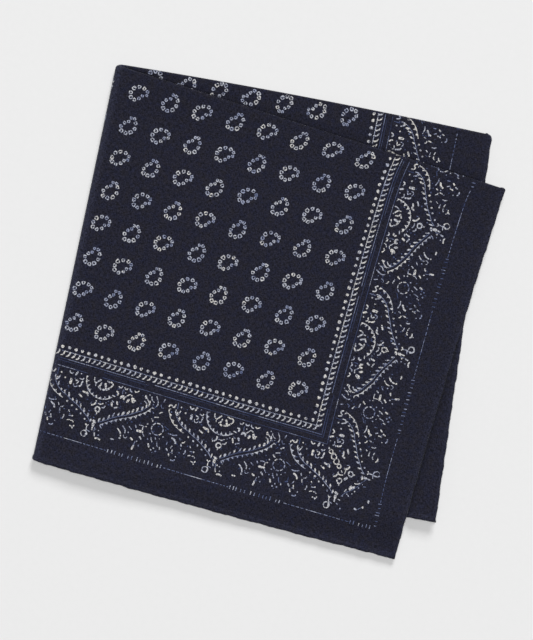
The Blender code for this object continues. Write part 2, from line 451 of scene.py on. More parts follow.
flat, lift = [], []
for angle in turn:
    inset = HEM / 2 - HEM / 2 * math.cos(angle) * swell
    inset = inset + wander * (1 - math.cos(angle)) / 2
    places = round_the_square(inset.reshape(4, -1), along)
    flat.append(np.concatenate([places[side][side] for side in range(4)]))
    lift.append(HEM_HIGH * math.sin(angle) * swell)
flat = np.stack(flat, 1).reshape(-1, 2)
lift = np.stack(lift, 1).ravel()
faces = [(a * RING + b, a * RING + (b + 1) % RING,
          (a + 1) % count * RING + (b + 1) % RING, (a + 1) % count * RING + b)
         for a in range(count) for b in range(RING)]
hem = object_from("rolled_hem", fold(flat[:, 0], flat[:, 1], lift), faces)
lay_uv(hem, flat)
only(hem)
bpy.ops.object.mode_set(mode="EDIT")
bpy.ops.mesh.select_all(action="SELECT")
bpy.ops.mesh.normals_make_consistent(inside=False)
bpy.ops.object.mode_set(mode="OBJECT")
bpy.ops.object.shade_smooth()
print("hem:", triangles(hem), "triangles round", round(PERIMETER), "mm of edge")

# %% [markdown]
# ## The hem's stitches
#
# A hem stitch shows as a speck of thread that dips into the cloth beside the roll.  One
# small squashed ball is modelled, and its points are copied to each place, so all the
# stitches are one joined mesh.

# %% Stitches
STITCH_LONG, STITCH_WIDE, STITCH_HIGH = 0.62, 0.24, 0.2      # half of each
STITCH_UNDER = 0.15      # how far a stitch reaches under the roll's edge
STITCH_PROUD = 0.06      # how far its middle stands above the cloth
CORNER_CLEAR = 4.0       # no stitch lies this near a corner

bpy.ops.mesh.primitive_uv_sphere_add(segments=8, ring_count=5, radius=1.0)
bead = bpy.context.object
ball = np.array([vertex.co for vertex in bead.data.vertices])
# Blender lists a sphere's faces in a new order each run, so they are sorted
ball_faces = [np.array(face) for face in sorted(tuple(f.vertices) for f in bead.data.polygons)]
bpy.data.objects.remove(bead)

points, faces, flat = [], [], []
for number in range(int(PERIMETER / STITCH)):
    place = number * STITCH
    side, place = int(place // (2 * LEAF)), place % (2 * LEAF) - LEAF
    if abs(place) > LEAF - CORNER_CLEAR:
        continue
    slant = rng.normal(0, 0.35)
    lengthwise = ball[:, 0] * (STITCH_LONG + rng.uniform(-0.12, 0.15))
    widthwise = ball[:, 1] * STITCH_WIDE
    along_hem = lengthwise * math.cos(slant) - widthwise * math.sin(slant)
    inwards = lengthwise * math.sin(slant) + widthwise * math.cos(slant)
    inset = HEM - STITCH_UNDER + rng.normal(0, 0.1) - inwards
    spot = round_the_square(inset, (place + along_hem) / (LEAF - inset))[side]
    faces += [tuple(face + len(points) * len(ball)) for face in ball_faces]
    lift = THICK / 2 + STITCH_PROUD + STITCH_HIGH * ball[:, 2]
    points.append(fold(spot[:, 0], spot[:, 1], lift))
    flat.append(spot)
stitches = object_from("hem_stitches", np.concatenate(points), faces)
lay_uv(stitches, np.concatenate(flat))
only(stitches)
bpy.ops.object.shade_smooth()
print("stitches:", len(points), "of", len(ball_faces), "faces each")

# %% [markdown]
# ## A pen for the print
#
# The pattern is the old bandana layout: a field of teardrops made of small rings, a line
# of beads, a rope, and a wide border of arches, garlands and small flowers.  On the real
# cloth the pale parts are where the dye was taken out, so they lie in the surface.  Here
# they are thin films, drawn flat on the open cloth with a few pens: a dot, a ring, a
# stroke and a leaf.  Every pen wavers a little, as a hand cut block does, and each mark
# has a tint, from 0, undyed, to 1, a part bleached blue.

# %% A soft curve
CURVE_STEPS = 10         # between two places that a curve runs through


def smooth_line(points, step):
    """A soft curve through the points, in even steps, and the direction across it."""
    points = np.asarray(points, float)
    if len(points) > 2:
        ends = np.vstack([2 * points[0] - points[1], points, 2 * points[-1] - points[-2]])
        t = np.linspace(0, 1, CURVE_STEPS, endpoint=False)[:, None]
        parts = [(2 * b + (c - a) * t + (2 * a - 5 * b + 4 * c - d) * t ** 2
                  + (3 * b - a - 3 * c + d) * t ** 3) / 2
                 for a, b, c, d in zip(ends, ends[1:], ends[2:], ends[3:])]
        points = np.vstack(parts + [points[-1:]])
    run = np.concatenate([[0], np.cumsum(np.hypot(*np.diff(points, axis=0).T))])
    even = np.linspace(0, run[-1], max(2, round(run[-1] / step) + 1))
    line = np.stack([np.interp(even, run, points[:, axis]) for axis in (0, 1)], -1)
    ahead = np.gradient(line, axis=0)
    ahead /= np.hypot(*ahead.T)[:, None]
    return line, np.stack([-ahead[:, 1], ahead[:, 0]], -1)


print("a soft curve of three places:", len(smooth_line([(0, 0), (5, 2), (9, 0)], 0.6)[0]), "points")

# %% Pens
TINT_STRAY = 0.08        # how much the tint strays from mark to mark
LEAST_HOLE = 0.08        # a ring never closes up
CAP_LONG, CAP_WIDE = 0.7, 0.55       # a stroke's blunt end, in shares of its half width
LEAF_OUTLINE = np.array([
    # along and aside, as shares of a leaf's length and half its width
    (0, -0.2), (0.25, -0.8), (0.6, -1), (0.88, -0.5),
    (1, 0), (0.88, 0.5), (0.6, 1), (0.25, 0.8),
])


class Ink:
    """Collects printed marks in the print's own millimetres, u to the right, v down."""

    def __init__(self, seed):
        self.points, self.faces, self.tints = [], [], []
        self.rng = np.random.default_rng(seed)
        self.place = lambda points: points

    def mark(self, points, faces, tint):
        start = len(self.points)
        self.points += self.place(np.asarray(points, float)).tolist()
        self.faces += [[start + corner for corner in face] for face in faces]
        tint = np.clip(tint + self.rng.normal(0, TINT_STRAY), 0, 1)
        self.tints += [tint] * len(points)

    def waver(self, count, size):
        return 1 + self.rng.normal(0, size, count)

    def dot(self, x, y, radius, tint=0.0, corners=9, rough=0.10):
        angle = np.arange(corners) * 2 * math.pi / corners + self.rng.uniform(0, 1)
        out = radius * self.waver(corners, rough)
        points = np.stack([x + out * np.cos(angle), y + out * np.sin(angle)], -1)
        self.mark(points, [range(corners)], tint)

    def ring(self, x, y, radius, width, tint=0.0, corners=10, square=0.0, flare=0.0, turn=0.0):
        """A ring; flare widens the side that faces turn, as a petal does."""
        angle = np.arange(corners) * 2 * math.pi / corners
        squarish = 1 + square * (1 - np.cos(4 * angle)) / 2
        out = radius * squarish * self.waver(corners, 0.07)
        hole = np.maximum(radius * squarish - width * self.waver(corners, 0.22), LEAST_HOLE)
        widen = 1 + flare * np.cos(angle)
        edges = [np.stack([edge * (np.cos(angle) * math.cos(turn)
                                   - np.sin(angle) * widen * math.sin(turn)),
                           edge * (np.cos(angle) * math.sin(turn)
                                   + np.sin(angle) * widen * math.cos(turn))], -1)
                 for edge in (out, hole)]
        faces = [(a, (a + 1) % corners, corners + (a + 1) % corners, corners + a)
                 for a in range(corners)]
        self.mark(np.concatenate(edges) + (x, y), faces, tint)

    def stroke(self, points, width, tint=0.0, start=0.9, end=0.9, step=0.6):
        """A line with blunt ends; start and end are its width there as a share."""
        line, aside = smooth_line(points, step)
        part = np.linspace(0, 1, len(line))
        share = np.interp(part, (0, 0.3, 0.7, 1), (start, 1, 1, end))
        half = width / 2 * share * self.waver(len(line), 0.10)
        ahead = np.stack([aside[:, 1], -aside[:, 0]], -1)
        line = np.vstack([line[0] - ahead[0] * half[0] * CAP_LONG, line,
                          line[-1] + ahead[-1] * half[-1] * CAP_LONG])
        aside = np.vstack([aside[0], aside, aside[-1]])
        half = np.concatenate([half[:1] * CAP_WIDE, half, half[-1:] * CAP_WIDE])[:, None]
        count = len(line)
        faces = [(a, a + 1, count + a + 1, count + a) for a in range(count - 1)]
        self.mark(np.concatenate([line + aside * half, line - aside * half]), faces, tint)

    def leaf(self, x, y, length, width, turn, tint):
        """A pointed drop, from its stalk at x, y, in the direction of turn."""
        along = LEAF_OUTLINE[:, 0] * length
        aside = LEAF_OUTLINE[:, 1] * width / 2 * self.waver(len(LEAF_OUTLINE), 0.12)
        points = np.stack([x + along * math.cos(turn) - aside * math.sin(turn),
                           y + along * math.sin(turn) + aside * math.cos(turn)], -1)
        self.mark(points, [range(len(along))], tint)


print("pens: dot, ring, stroke and leaf")

# %% [markdown]
# ## The field of teardrops
#
# The field repeats every 14.2 mm, with wide and tall teardrops by turns, as on a draught
# board.  Each is a loop of ten small squarish rings, larger and paler round the belly,
# smaller and bluer at the tip.  A tall one is a wide one mirrored in the diagonal.  The
# field runs on over the whole cloth, so it has the same way up on every quarter.

# %% Teardrops
FIELD_STEP = 14.2
FIELD_COUNT = 8
FIELD_AT = (-0.35, 0.2)            # the field's middle, off the print's own
FIRST_DRAWN_IN = (0.35, -0.35)     # how far the first column lies off the others' spacing
DROP_STRAY, RING_STRAY = 0.12, 0.07      # how unevenly they were cut into the block
RING_WIDTH = 0.46
TEARDROP = [
    # across, down, radius, tint of each ring of a wide teardrop
    (1.80, -2.70, 0.76, 0.12),
    (3.35, -1.68, 0.69, 0.24),
    (3.40, -0.18, 0.62, 0.28),
    (1.80, 0.45, 0.67, 0.22),
    (0.80, 1.95, 0.69, 0.18),
    (-0.95, 2.90, 0.74, 0.14),
    (-2.85, 2.30, 0.84, 0.10),
    (-3.30, 0.40, 0.80, 0.12),
    (-2.42, -1.55, 0.87, 0.08),
    (-0.48, -2.70, 0.76, 0.14),
]


def draw_field(ink, right, down):
    """One quarter of the field; right and down are 1 or -1."""
    for i in range(FIELD_COUNT):
        for j in range(FIELD_COUNT):
            x = right * (i + 0.5) * FIELD_STEP + FIELD_AT[0] + ink.rng.normal(0, DROP_STRAY)
            y = down * (j + 0.5) * FIELD_STEP + FIELD_AT[1] + ink.rng.normal(0, DROP_STRAY)
            if i == 0:
                x, y = x + right * FIRST_DRAWN_IN[0], y + FIRST_DRAWN_IN[1]
            tall = (i + (right < 0) + j + (down < 0)) % 2
            bleach = ink.rng.normal(0.04, 0.05)
            for across, below, radius, tint in TEARDROP:
                if tall:
                    across, below = -below, -across
                ink.ring(x + across + ink.rng.normal(0, RING_STRAY),
                         y + below + ink.rng.normal(0, RING_STRAY),
                         radius, RING_WIDTH, tint + bleach, square=0.16, flare=0.22,
                         turn=math.atan2(below, across))


print("field:", FIELD_COUNT ** 2, "teardrops to a quarter, of", len(TEARDROP), "rings each")

# %% [markdown]
# ## Beads, rope and lines
#
# Round the field run a row of beads, a rope of curled hooks that hang from a pale line,
# and three thin lines.  Far outside, a broken line of ticks closes the border.  All four
# sides are alike, so one function draws a side along x, with y outwards from the beads,
# and each side is placed on the cloth.  Everything is counted back from the corner.

# %% Measures of the frame
BEAD_RADIUS = 0.69
BEAD_STEP = 2.92
BEADS_TOGETHER = 17
BEAD_BLOCK = 53.5        # every seventeen beads a wider gap, then a lone bead
LONE_BEAD = 9.7          # the first lone bead, back from the corner
LONE_GAP = 3.33          # from a lone bead to the next seventeen
CORNER_BEAD = 2          # room left for the corner's own bead
ROPE_STEP = 2.26
ROPE_AT = 1.75
ROPE_START = 1.2         # the first hook, past the corner bead
HOOK = np.array([(0.55, 0.0), (0.52, 0.7), (0.10, 1.55), (-0.72, 2.0)])
TICKS_AT = 36.4
DASHES = (-21.8, 7.7)    # from an arch's tip, the stretch where only dashes run
PALE_LINE = (-12.5, -5)  # and where these join up and turn paler
LINES = [
    # out from the beads, width, tint, share of it that shows
    (4.80, 0.24, 0.58, 0.92),
    (5.75, 0.16, 0.86, 0.75),
    (8.00, 0.20, 0.66, 0.94),
]
ROPE_LINES = {
    # side: width and tint of the line the hooks hang from
    "near": (0.26, 0.38),
    "right": (0.34, 0.18),
    "left": (0.34, 0.18),
}
print("beads in a block:", BEADS_TOGETHER + 1, "on", BEAD_BLOCK, "mm")

# %% Drawing the frame
def broken_line(ink, length, out, width, tint, shows):
    """A line along x that skips here and there and goes on to meet the next side's."""
    at = 0.0
    while at < length:
        stop = min(at + ink.rng.uniform(2.0, 9.0), length)
        if ink.rng.random() < shows:
            ink.stroke([(at, out), (stop, out)], width, tint + ink.rng.normal(0, 0.12),
                       step=1.5)
        at = stop


def draw_lines(ink, length, rope):
    """The frame of one side, from the middle of the cloth to the corner of the beads."""
    for lone in np.arange(length - LONE_BEAD, -BEAD_BLOCK, -BEAD_BLOCK):
        for x in (lone, *(lone + LONE_GAP + BEAD_STEP * np.arange(BEADS_TOGETHER))):
            if 0 < x < length - CORNER_BEAD:
                ink.dot(x + ink.rng.normal(0, 0.07), ink.rng.normal(0, 0.06),
                        BEAD_RADIUS * ink.waver(1, 0.08)[0], tint=0.03, corners=10)
    width, tint = ROPE_LINES[rope]
    broken_line(ink, length + ROPE_AT, ROPE_AT, width, tint, shows=1.0)
    for x in np.arange(length + ROPE_START, 0, -ROPE_STEP):
        hook = HOOK + (x, ROPE_AT) + ink.rng.normal(0, 0.06, 2)
        ink.stroke(hook, width=0.61, tint=0.08, start=1.0, end=0.5, step=0.5)
    for out, width, tint, shows in LINES:
        broken_line(ink, length + out, out, width, tint, shows)


def draw_ticks(ink, length, tips, step, faded):
    """The outermost line: tall ticks by each garland's foot, and dashes between."""
    at, end = 1.0, length + TICKS_AT
    while at < end - 1:
        under = (at - tips + step / 2) % step - step / 2
        tint, width, dash, gap = ink.rng.uniform(0.45, 0.78), 0.3, ink.rng.uniform(0.5, 1.4), 0.8
        if not DASHES[0] <= under <= DASHES[1]:
            tall = ink.rng.uniform(0.8, 1.6)
            ink.stroke([(at, TICKS_AT + 0.5), (at + 0.1, TICKS_AT + 0.5 - tall)], 0.34,
                       ink.rng.uniform(0.15, 0.65) + faded, step=0.7)
            dash, gap = 0.0, ink.rng.uniform(1.1, 2.6)
        elif PALE_LINE[0] < under < PALE_LINE[1]:
            tint, width, dash, gap = 0.25 + faded, 0.24, 1.6, 0.0
        if dash:
            ink.stroke([(at, TICKS_AT), (at + dash, TICKS_AT)], width, tint, step=0.8)
        at += dash + gap


print("frame: beads, a rope,", len(LINES), "lines and the ticks")

# %% [markdown]
# ## Arches and garlands
#
# The border is a row of arches that hang from the frame lines.  Two garlands meet at each
# tip: a scalloped band with a leafy stem inside it on the left, and a leafy stem with a
# toothed band outside it on the right.  Between them hangs half a rosette with blossoms on
# both sides.  Bands and stems need only a few places each.  The blossoms are short brush
# marks, charted one by one: a width, a tint, and the places the mark runs through.  Places
# are in millimetres, across from the arch's tip and out from the beads.

# %% Bands, stems and charts
BAND_SAMPLES = 6         # steps to each bite out of a band
LEAF_SLANT = 2.4         # radians that a garland's leaves lean back from its direction
PRESS = 0.74             # a mark prints this share of its charted width


def scallop(ink, points, side, bite, thin, tall, tint):
    """A band along the points, with round bites out of one edge that leave teeth between."""
    line, aside = smooth_line(points, bite / BAND_SAMPLES)
    part = np.arange(len(line)) / BAND_SAMPLES % 1 * 2 - 1
    depth = (thin + (tall - thin) * part ** 2) * ink.waver(len(line), 0.08)
    count = len(line)
    faces = [(a, a + 1, count + a + 1, count + a) for a in range(count - 1)]
    ink.mark(np.concatenate([line, line + aside * side * depth[:, None]]), faces, tint)


def garland(ink, stem, side, spacing, length, width, tint):
    """Leaves along one side of a stem."""
    line, aside = smooth_line(stem, spacing)
    for here, across in zip(line, aside):
        ahead = np.array([across[1], -across[0]])
        way = across * side * math.sin(LEAF_SLANT) + ahead * math.cos(LEAF_SLANT)
        foot = here + across * side * 0.1 + ink.rng.normal(0, 0.08, 2)
        ink.leaf(*foot, length * ink.waver(1, 0.15)[0], width * ink.waver(1, 0.15)[0],
                 math.atan2(way[1], way[0]), tint)


def marks(ink, chart, tip):
    """Draws a chart whose x counts from tip; one place is a dot, several are a stroke.

    What would lie past the middle of the side is left to the next quarter.
    """
    for width, tint, *places in chart:
        line = np.array(places) + (tip, 0)
        if line[:, 0].mean() < 0:
            continue
        line = line + ink.rng.normal(0, 0.06, 2)
        if len(line) == 1:
            ink.dot(*line[0], PRESS * width / 2, tint, corners=8, rough=0.14)
        else:
            ink.stroke(line, PRESS * width, tint, step=0.7)


def from_tip(points, tip):
    """Moves charted places along the side, to where the tip is."""
    return np.array(points, float) + (tip, 0)


print("a mark prints at", round(100 * PRESS), "% of its charted width")

# %% Left half of an arch
BAND = [(-24.9, 12.6), (-24.3, 14.1), (-23.8, 15.2), (-22.9, 16.6), (-21.9, 17.7),
        (-20.6, 18.7), (-19.2, 19.5), (-17.6, 20.2), (-16.2, 20.6)]
STEM = [(-21.0, 14.5), (-19.4, 16.5), (-17.1, 18.2), (-15.0, 19.0), (-13.2, 20.0),
        (-11.2, 20.9), (-9.3, 21.8), (-7.3, 23.0), (-5.4, 24.3), (-3.5, 25.6), (-2.2, 27.0)]
BAND_ENDS = [
    # width, tint, places
    (0.75, 0.08, (-24.9, 11.5), (-24.6, 10.6), (-23.9, 10.6), (-23.2, 11.3), (-22.5, 10.9),
     (-22.3, 9.9)),
    (0.65, 0.15, (-21.6, 12.0), (-21.6, 13.0), (-20.9, 14.2), (-20.2, 13.2), (-19.7, 12.0)),
    (0.40, 0.75, (-21.2, 9.0), (-21.1, 11.5)),
    (1.15, 0.05, (-13.9, 21.4)), (1.15, 0.10, (-11.5, 22.5)), (1.10, 0.10, (-9.2, 23.8)),
    (1.05, 0.15, (-6.9, 24.8)), (1.00, 0.20, (-4.7, 26.5)),
]
LEFT_BLOSSOMS = [
    (0.75, 0.10, (-16.3, 9.0), (-15.6, 9.9), (-14.7, 9.4)),
    (1.05, 0.00, (-13.5, 9.9), (-12.9, 8.6)),
    (0.80, 0.15, (-11.3, 9.0)), (0.95, 0.05, (-19.7, 10.4)), (0.95, 0.05, (-17.5, 12.3)),
    (1.45, 0.00, (-14.8, 12.3), (-14.8, 14.1)), (0.70, 0.55, (-13.4, 11.6)),
    (0.70, 0.10, (-12.9, 12.0), (-11.7, 12.3), (-12.3, 13.4)),
    (0.45, 0.30, (-13.3, 13.6), (-13.2, 14.5), (-12.3, 14.8), (-11.6, 14.2)),
    (0.60, 0.20, (-11.4, 11.0), (-10.2, 11.2), (-9.8, 10.5)),
    (0.85, 0.10, (-9.9, 11.8), (-10.1, 12.9), (-10.3, 13.8), (-10.8, 14.2)),
    (0.95, 0.05, (-8.6, 15.8), (-7.5, 16.1), (-6.6, 15.9), (-6.1, 17.0)),
    (0.95, 0.05, (-9.9, 17.4), (-8.4, 18.1)),
    (0.90, 0.00, (-1.9, 17.9), (-1.9, 18.9), (-2.6, 19.7), (-3.4, 20.1)),
    (0.40, 0.45, (-3.9, 19.7), (-3.7, 18.9)), (0.70, 0.05, (-0.5, 22.3), (-0.5, 23.1)),
]
TIP = [
    (1.30, 0.00, (-1.0, 26.1), (0.0, 26.6)),
    (1.50, 0.00, (-0.7, 27.4), (-0.6, 28.4)), (0.80, 0.05, (-0.6, 28.8), (-0.5, 29.9)),
    (0.75, 0.05, (-3.6, 28.3), (-3.0, 28.8), (-2.4, 28.3)),
    (0.55, 0.10, (-3.0, 28.8), (-3.0, 30.0), (-2.7, 31.4), (-2.7, 32.6)),
    (0.45, 0.30, (-2.6, 30.6), (-1.4, 30.9)),
]
LEFT_SPRIGS = [
    (0.50, 0.20, (-27.1, 9.2), (-27.5, 10.5)),
    (0.40, 0.50, (-28.3, 12.0), (-27.8, 13.2), (-27.0, 13.0)),
    (0.70, 0.05, (-28.0, 15.4), (-26.9, 14.6)), (0.60, 0.20, (-29.6, 17.6), (-28.0, 17.2)),
    (0.40, 0.70, (-24.5, 20.0), (-22.6, 21.0)), (0.35, 0.60, (-25.7, 19.2)),
    (0.55, 0.28, (-21.7, 22.4), (-20.5, 22.6), (-19.3, 22.3), (-18.6, 22.0)),
    (1.00, 0.05, (-20.4, 23.7), (-19.3, 24.2), (-18.7, 24.8), (-18.5, 25.4)),
    (0.60, 0.20, (-17.4, 22.9), (-17.0, 23.7)),
    (0.60, 0.10, (-15.8, 24.4), (-15.0, 24.1), (-14.8, 23.6)),
    (0.70, 0.15, (-16.2, 25.1), (-15.9, 26.2)), (0.60, 0.10, (-12.2, 24.9), (-11.7, 25.5)),
    (0.60, 0.50, (-15.7, 26.9)), (0.60, 0.15, (-13.7, 27.1), (-13.6, 28.0), (-14.0, 28.8)),
    (0.40, 0.30, (-11.6, 26.9), (-10.2, 26.7)), (0.90, 0.10, (-10.1, 26.7)),
    (0.50, 0.15, (-12.0, 28.9), (-11.4, 28.6), (-10.9, 28.5)),
    (0.60, 0.05, (-10.2, 28.6), (-9.5, 28.5), (-9.0, 29.0)),
    (0.70, 0.00, (-10.1, 30.8), (-8.8, 31.0), (-8.3, 30.3)),
    (0.60, 0.00, (-9.0, 30.8), (-8.8, 31.6)), (0.60, 0.30, (-19.9, 27.8), (-19.5, 26.9)),
    (0.80, 0.10, (-21.6, 28.6), (-21.0, 29.3)),
    (0.70, 0.05, (-19.0, 28.4), (-18.9, 29.2), (-18.6, 29.7)),
    (0.35, 0.50, (-19.6, 29.8), (-19.0, 29.3)), (0.70, 0.00, (-20.2, 30.2), (-19.8, 31.2)),
    (0.70, 0.20, (-16.8, 30.6)), (0.70, 0.35, (-18.7, 32.5), (-17.8, 32.6), (-17.1, 32.1)),
    (0.50, 0.60, (-22.0, 25.9), (-22.0, 27.0)), (0.80, 0.30, (-24.1, 24.4)),
    (0.60, 0.30, (-25.3, 25.6)), (0.50, 0.25, (-27.1, 25.7), (-26.8, 26.3)),
    (0.55, 0.15, (-28.9, 26.0), (-28.6, 26.8), (-28.0, 27.8)),
    (0.45, 0.35, (-26.0, 27.0), (-25.7, 28.3), (-25.2, 29.0)),
    (0.90, 0.00, (-29.3, 28.7), (-28.8, 29.8)), (0.60, 0.15, (-24.5, 28.9), (-24.2, 29.7)),
    (0.90, 0.25, (-26.8, 29.8)), (1.00, 0.40, (-27.7, 30.9)), (1.00, 0.40, (-25.7, 30.9)),
    (0.60, 0.60, (-26.8, 31.8)),
]
print("left half:", len(BAND_ENDS + LEFT_BLOSSOMS + TIP + LEFT_SPRIGS), "charted marks")

# %% Drawing the left half
LOOPS = [
    # across, out, radius, width, tint
    (-0.5, 21.2, 1.35, 0.58, 0.05),
    (-3.5, 32.2, 1.45, 0.40, 0.15),
]
DAISY_AT = (-27.2, 22.0)
DAISY_RADIUS = 2.4
DAISY_TINTS = (0.35, 0.05, 0.30, 0.40, 0.15, 0.20, 0.15, 0.40)
PETAL = np.radians((-14, 0, 14))       # the turns that one petal runs through


def daisy(ink, x, y):
    """A ring of short curved petals, clockwise from the right, round a dark heart."""
    for number, tint in enumerate(DAISY_TINTS):
        turn = math.radians(45) * number + PETAL
        petal = np.stack([x + DAISY_RADIUS * np.cos(turn), y + DAISY_RADIUS * np.sin(turn)], -1)
        if petal[:, 0].mean() > 0:
            ink.stroke(petal, width=0.42, tint=tint, step=0.4)


def draw_half(ink, tip):
    """The left half of an arch, with its tip and the flowers outside it."""
    if tip > 0:
        stem = from_tip(STEM, tip)
        scallop(ink, from_tip(BAND, tip), side=-1, bite=2.7, thin=0.20, tall=1.3, tint=0.05)
        ink.stroke(stem, width=0.27, tint=0.48)
        garland(ink, stem, side=-1, spacing=2.25, length=1.9, width=0.72, tint=0.08)
    for chart in (BAND_ENDS, LEFT_BLOSSOMS, TIP, LEFT_SPRIGS):
        marks(ink, chart, tip)
    for across, out, radius, width, tint in LOOPS:
        ink.ring(tip + across, out, radius, width, tint)
    daisy(ink, tip + DAISY_AT[0], DAISY_AT[1])


print("daisy:", len(DAISY_TINTS), "petals,", 2 * DAISY_RADIUS, "mm across")

# %% Right half of an arch
ROSETTE_CUP = [
    # width, tint, places
    (0.60, 0.05, (-5.3, 8.8), (-5.2, 9.9), (-4.4, 10.8)),
    (0.85, 0.00, (-2.4, 9.0), (-3.4, 10.0), (-4.2, 10.9)),
    (0.50, 0.15, (-4.2, 10.9), (-4.0, 12.0)),
    (0.85, 0.00, (-1.7, 10.2), (-2.1, 11.4), (-2.5, 12.2)),
    (0.95, 0.00, (-2.7, 12.0), (-1.3, 12.9)),
    (1.10, 0.00, (-0.1, 10.2), (0.4, 11.4), (0.7, 12.4)),
    (1.00, 0.00, (-0.4, 12.6), (1.0, 12.2), (2.0, 11.4)),
    (0.80, 0.00, (2.0, 11.4), (2.8, 10.4), (3.1, 9.4), (2.0, 8.8)),
    (0.75, 0.05, (0.4, 8.8), (1.5, 9.1)),
]
RIGHT_BLOSSOMS = [
    (0.55, 0.20, (-0.8, 18.7), (0.2, 18.9), (1.2, 18.2)),
    (0.65, 0.10, (2.4, 19.1), (2.0, 20.0), (1.1, 20.1)), (0.60, 0.45, (2.3, 17.6)),
    (0.75, 0.35, (3.3, 16.9)), (1.00, 0.00, (4.6, 16.8), (5.1, 18.3)),
    (0.50, 0.30, (4.7, 16.0), (5.5, 16.4)), (1.10, 0.00, (6.7, 15.9), (7.3, 16.9)),
    (0.80, 0.15, (6.2, 18.6), (7.6, 18.0)), (0.65, 0.05, (5.9, 9.6), (6.8, 10.1), (7.4, 9.2)),
    (0.75, 0.10, (8.4, 9.3), (9.1, 9.9), (9.9, 9.3)),
    (0.60, 0.20, (10.7, 9.1), (11.1, 10.0), (11.9, 10.3)),
    (0.65, 0.05, (12.8, 9.5), (13.5, 10.0), (14.5, 9.1)), (0.75, 0.25, (9.2, 11.3)),
    (0.40, 0.60, (8.1, 10.4), (7.9, 11.4), (8.2, 12.3)),
    (0.95, 0.00, (5.6, 11.8), (6.4, 12.1), (6.3, 13.1)), (0.60, 0.10, (4.2, 13.8), (5.4, 14.0)),
    (1.20, 0.00, (7.8, 14.0), (8.3, 13.2), (9.2, 13.3), (9.3, 14.2)),
    (0.55, 0.05, (9.6, 12.9), (10.3, 12.2), (11.0, 11.4), (12.1, 11.8)),
    (1.30, 0.00, (11.3, 13.7), (10.9, 14.8)), (1.90, 0.00, (12.7, 12.8), (13.3, 14.1)),
    (0.80, 0.00, (14.0, 13.4)), (1.20, 0.00, (17.8, 10.2), (18.0, 11.0)),
    (0.60, 0.10, (18.4, 10.9), (19.4, 11.8), (20.1, 12.9), (19.9, 13.8)),
    (0.60, 0.15, (17.8, 12.5), (18.9, 13.2)), (0.75, 0.20, (19.3, 9.3)),
    (0.55, 0.20, (20.2, 9.8), (20.6, 11.0), (21.7, 11.7)),
    (0.55, 0.25, (22.2, 9.0), (23.1, 10.5), (23.5, 11.9), (23.1, 12.9)),
    (0.60, 0.40, (21.7, 12.6)), (0.60, 0.25, (2.2, 27.0), (2.6, 27.6), (3.2, 28.1)),
    (0.85, 0.10, (1.0, 29.2)), (0.70, 0.30, (2.2, 29.4)), (0.75, 0.10, (0.7, 30.8), (1.0, 32.0)),
    (0.75, 0.30, (2.8, 31.3)), (0.85, 0.05, (1.7, 32.9), (2.7, 32.6), (3.8, 32.9)),
    (0.35, 0.50, (0.3, 28.4), (0.4, 30.2)),
]
RIGHT_SPRIGS = [
    (0.70, 0.05, (9.8, 26.3), (10.8, 27.0), (11.5, 27.9), (11.8, 29.0)), (1.10, 0.05, (11.7, 29.8)),
    (0.60, 0.10, (11.7, 24.8), (12.5, 25.5), (13.1, 26.3), (13.2, 27.4)),
    (0.40, 0.35, (12.9, 28.0), (13.1, 28.9), (14.0, 29.0), (14.4, 28.4)),
    (0.50, 0.30, (14.4, 24.2), (15.6, 25.1)), (0.80, 0.35, (14.6, 26.8)),
    (0.80, 0.05, (8.1, 31.3), (9.3, 31.3)), (1.00, 0.00, (16.2, 28.6), (17.0, 29.0)),
    (0.50, 0.15, (18.1, 22.4), (19.2, 22.2), (20.2, 22.5)),
    (0.50, 0.05, (20.0, 22.5), (20.0, 24.0)), (1.30, 0.00, (17.9, 24.8), (20.2, 24.8)),
    (0.40, 0.30, (20.2, 25.2), (20.8, 26.0), (21.2, 26.4)), (0.80, 0.10, (21.0, 22.4)),
    (0.90, 0.15, (21.4, 21.0)), (0.70, 0.20, (16.8, 22.9), (17.3, 23.7)),
    (0.80, 0.05, (19.5, 26.9), (20.4, 27.8)), (0.80, 0.20, (19.0, 29.1)),
    (0.35, 0.45, (18.3, 29.4), (18.1, 30.6), (17.9, 31.8)),
    (1.10, 0.05, (17.9, 31.2), (17.6, 32.7)), (0.80, 0.30, (20.0, 30.6)),
    (0.80, 0.00, (22.5, 18.6), (23.3, 19.5)), (0.80, 0.35, (23.4, 24.5)),
    (0.80, 0.40, (22.9, 27.0)),
]
print("right half:", len(ROSETTE_CUP + RIGHT_BLOSSOMS + RIGHT_SPRIGS), "charted marks")

# %% Drawing a whole arch
TOOTHED = [(21.6, 13.6), (20.6, 15.0), (19.2, 16.7), (17.4, 18.0), (15.6, 19.3), (13.8, 20.4),
           (11.6, 21.4), (9.6, 22.4), (7.6, 23.4), (5.8, 24.5), (4.1, 25.6), (2.3, 26.8)]
TOOTH_CHANGE = 5         # the place where its teeth turn finer and bluer
RIGHT_STEM = [(20.3, 13.2), (19.3, 14.7), (17.8, 16.4), (16.0, 17.6), (14.0, 19.0),
              (11.8, 20.2), (9.8, 21.0), (8.0, 22.0), (6.0, 23.2), (4.0, 24.6), (1.2, 26.3)]
RIM_AT = (-1.0, 9.0)     # the rosette's middle
RIM_RADIUS = 7.9
RIM_TURN = np.radians(np.linspace(180, 48, 9))


